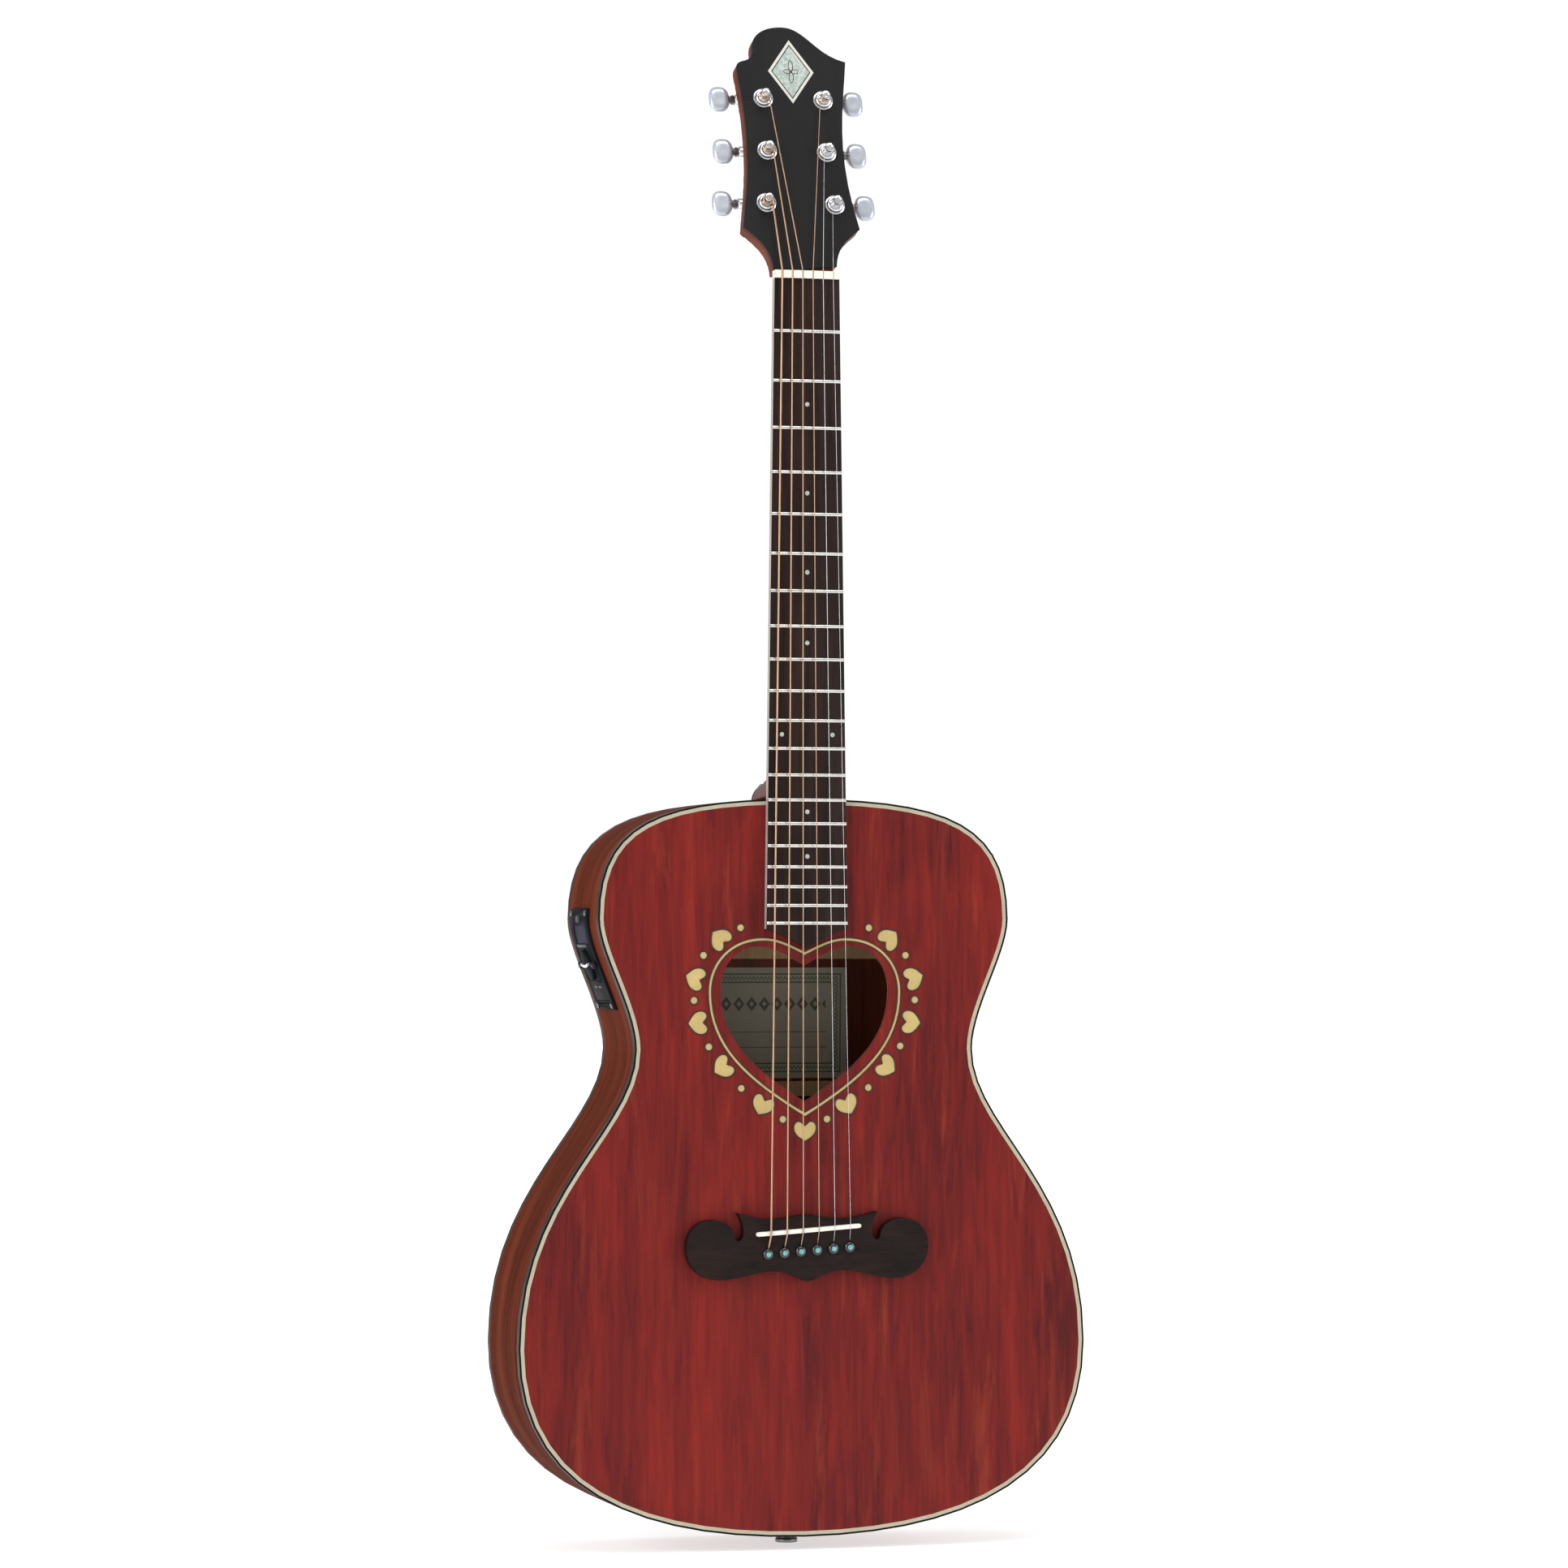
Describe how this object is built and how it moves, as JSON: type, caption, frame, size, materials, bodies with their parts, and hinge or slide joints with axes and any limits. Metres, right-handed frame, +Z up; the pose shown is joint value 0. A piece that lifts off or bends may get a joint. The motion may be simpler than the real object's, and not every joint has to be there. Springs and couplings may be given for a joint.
{
  "type": "acoustic guitar",
  "caption": "Steel-string electro-acoustic guitar with a red top, heart-shaped sound hole, geared tuners and a side preamp.",
  "frame": {"origin": "on the centre line at the nut edge that the open strings leave, level with the glue plane under the fingerboard", "axes": "+Z runs up the neck to the headstock, the soundboard faces -Y and +X is the treble side"},
  "size_m": [0.391, 0.1204, 1.0294],
  "materials": {
    "red_stained_spruce": "translucent red stain under gloss",
    "mahogany": "red-brown stain under satin gloss",
    "black_trim": "polished",
    "cream_purfling": "polished",
    "pale_wood": "bare planed wood",
    "rosewood": "oiled open grain",
    "gold_inlay": "lacquered gold",
    "label_paper": "matt printed paper",
    "bone": "polished bone",
    "pickup_metal": "bare",
    "black_pin_plastic": "polished",
    "steel": "plain steel",
    "nickel_silver": "polished",
    "pearl": "pearl with a soft sheen",
    "black_headstock_veneer": "satin black lacquer",
    "bronze_winding": "phosphor bronze winding",
    "chrome": "polished",
    "black_case_plastic": "fine matt",
    "display_window": "dark tinted window",
    "grey_key_plastic": "satin grey"
  },
  "bodies": {
    "guitar": {"soundboard": "red_stained_spruce", "back_plate": "mahogany", "rib_bass": "mahogany", "rib_treble": "mahogany", "top_binding": "black_trim", "top_purfling": "cream_purfling", "back_binding": "black_trim", "end_graft": "black_trim", "neck_block": "pale_wood", "tail_block": "pale_wood", "linings": "pale_wood", "x_braces": "pale_wood", "tone_bars": "pale_wood", "bridge_plate": "rosewood", "back_braces": "pale_wood", "sound_hole_inlay": "gold_inlay", "rosette_inlays": "gold_inlay", "label": "label_paper", "bridge": "rosewood", "saddle": "bone", "saddle_pickup": "pickup_metal", "bridge_pins": "black_pin_plastic", "neck": "mahogany", "heel_cap": "black_trim", "truss_rod": "steel", "fingerboard": "rosewood", "frets": "nickel_silver", "fret_markers": "pearl", "nut": "bone", "headstock_veneer": "black_headstock_veneer", "headstock_inlay": "pearl", "wound_strings": "bronze_winding", "plain_strings": "steel", "tuner_housings": "chrome", "tuner_bushings": "chrome", "tuner_screws": "chrome", "preamp_panel": "black_case_plastic", "preamp_housing": "black_case_plastic", "preamp_display": "display_window", "coin_cells": "steel", "endpin_jack": "chrome", "strap_button": "chrome"},
    "tuner_button_1": {"tuner_button_1": "chrome"},
    "tuner_button_2": {"tuner_button_2": "chrome"},
    "tuner_button_3": {"tuner_button_3": "chrome"},
    "tuner_button_4": {"tuner_button_4": "chrome"},
    "tuner_button_5": {"tuner_button_5": "chrome"},
    "tuner_button_6": {"tuner_button_6": "chrome"},
    "tuner_post_1": {"tuner_post_1": "chrome"},
    "tuner_post_2": {"tuner_post_2": "chrome"},
    "tuner_post_3": {"tuner_post_3": "chrome"},
    "tuner_post_4": {"tuner_post_4": "chrome"},
    "tuner_post_5": {"tuner_post_5": "chrome"},
    "tuner_post_6": {"tuner_post_6": "chrome"},
    "truss_rod_nut": {"truss_rod_nut": "steel"},
    "volume_dial": {"volume_dial": "black_case_plastic"},
    "bass_slider": {"bass_slider": "grey_key_plastic"},
    "treble_slider": {"treble_slider": "grey_key_plastic"},
    "tuner_key": {"tuner_key": "grey_key_plastic"},
    "battery_door": {"battery_door": "black_case_plastic"}
  },
  "joints": [
    {"name": "button_1_turn", "type": "hinge", "parent": "guitar", "child": "tuner_button_1", "pos_m": [-0.0239, 0.03032, 0.05354], "axis": [-1, 0, 0], "continuous": true},
    {"name": "post_1_turn", "type": "hinge", "parent": "guitar", "child": "tuner_post_1", "pos_m": [-0.0239, 0.01156, 0.05252], "axis": [0, -0.9636, 0.2672], "continuous": true},
    {"name": "button_2_turn", "type": "hinge", "parent": "guitar", "child": "tuner_button_2", "pos_m": [-0.0208, 0.04056, 0.09045], "axis": [-1, 0, 0], "continuous": true},
    {"name": "post_2_turn", "type": "hinge", "parent": "guitar", "child": "tuner_post_2", "pos_m": [-0.0208, 0.0218, 0.08942], "axis": [0, -0.9636, 0.2672], "continuous": true},
    {"name": "button_3_turn", "type": "hinge", "parent": "guitar", "child": "tuner_button_3", "pos_m": [-0.021, 0.05082, 0.12745], "axis": [-1, 0, 0], "continuous": true},
    {"name": "post_3_turn", "type": "hinge", "parent": "guitar", "child": "tuner_post_3", "pos_m": [-0.021, 0.03206, 0.12643], "axis": [0, -0.9636, 0.2672], "continuous": true},
    {"name": "button_4_turn", "type": "hinge", "parent": "guitar", "child": "tuner_button_4", "pos_m": [0.021, 0.05082, 0.12745], "axis": [1, 0, 0], "continuous": true},
    {"name": "post_4_turn", "type": "hinge", "parent": "guitar", "child": "tuner_post_4", "pos_m": [0.021, 0.03206, 0.12643], "axis": [0, -0.9636, 0.2672], "continuous": true},
    {"name": "button_5_turn", "type": "hinge", "parent": "guitar", "child": "tuner_button_5", "pos_m": [0.0208, 0.04056, 0.09045], "axis": [1, 0, 0], "continuous": true},
    {"name": "post_5_turn", "type": "hinge", "parent": "guitar", "child": "tuner_post_5", "pos_m": [0.0208, 0.0218, 0.08942], "axis": [0, -0.9636, 0.2672], "continuous": true},
    {"name": "button_6_turn", "type": "hinge", "parent": "guitar", "child": "tuner_button_6", "pos_m": [0.0239, 0.03032, 0.05354], "axis": [1, 0, 0], "continuous": true},
    {"name": "post_6_turn", "type": "hinge", "parent": "guitar", "child": "tuner_post_6", "pos_m": [0.0239, 0.01156, 0.05252], "axis": [0, -0.9636, 0.2672], "continuous": true},
    {"name": "truss_nut_turn", "type": "hinge", "parent": "guitar", "child": "truss_rod_nut", "pos_m": [0, 0.0075, -0.40748], "axis": [0, 0, 1], "range_deg": [-180, 180]},
    {"name": "volume_turn", "type": "hinge", "parent": "guitar", "child": "volume_dial", "pos_m": [-0.13426, 0.053, -0.46], "axis": [-0.9324, 0, -0.3615], "range_deg": [-135, 135]},
    {"name": "bass_slide", "type": "slide", "parent": "guitar", "child": "bass_slider", "axis": [-0.3615, 0, 0.9324], "range_m": [-0.008, 0.008]},
    {"name": "treble_slide", "type": "slide", "parent": "guitar", "child": "treble_slider", "axis": [-0.3615, 0, 0.9324], "range_m": [-0.008, 0.008]},
    {"name": "key_press", "type": "slide", "parent": "guitar", "child": "tuner_key", "axis": [1, 0, 0.0071], "range_m": [0, 0.0008], "stiffness_N_per_m": 300},
    {"name": "battery_door_swing", "type": "hinge", "parent": "guitar", "child": "battery_door", "pos_m": [-0.12546, 0.053, -0.48564], "axis": [0, -1, 0], "range_deg": [0, 75]}
  ],
  "couplings": [
    {"joint": "post_1_turn", "follows": "button_1_turn", "ratio": 0.066667},
    {"joint": "post_2_turn", "follows": "button_2_turn", "ratio": 0.066667},
    {"joint": "post_3_turn", "follows": "button_3_turn", "ratio": 0.066667},
    {"joint": "post_4_turn", "follows": "button_4_turn", "ratio": 0.066667},
    {"joint": "post_5_turn", "follows": "button_5_turn", "ratio": 0.066667},
    {"joint": "post_6_turn", "follows": "button_6_turn", "ratio": 0.066667}
  ]
}
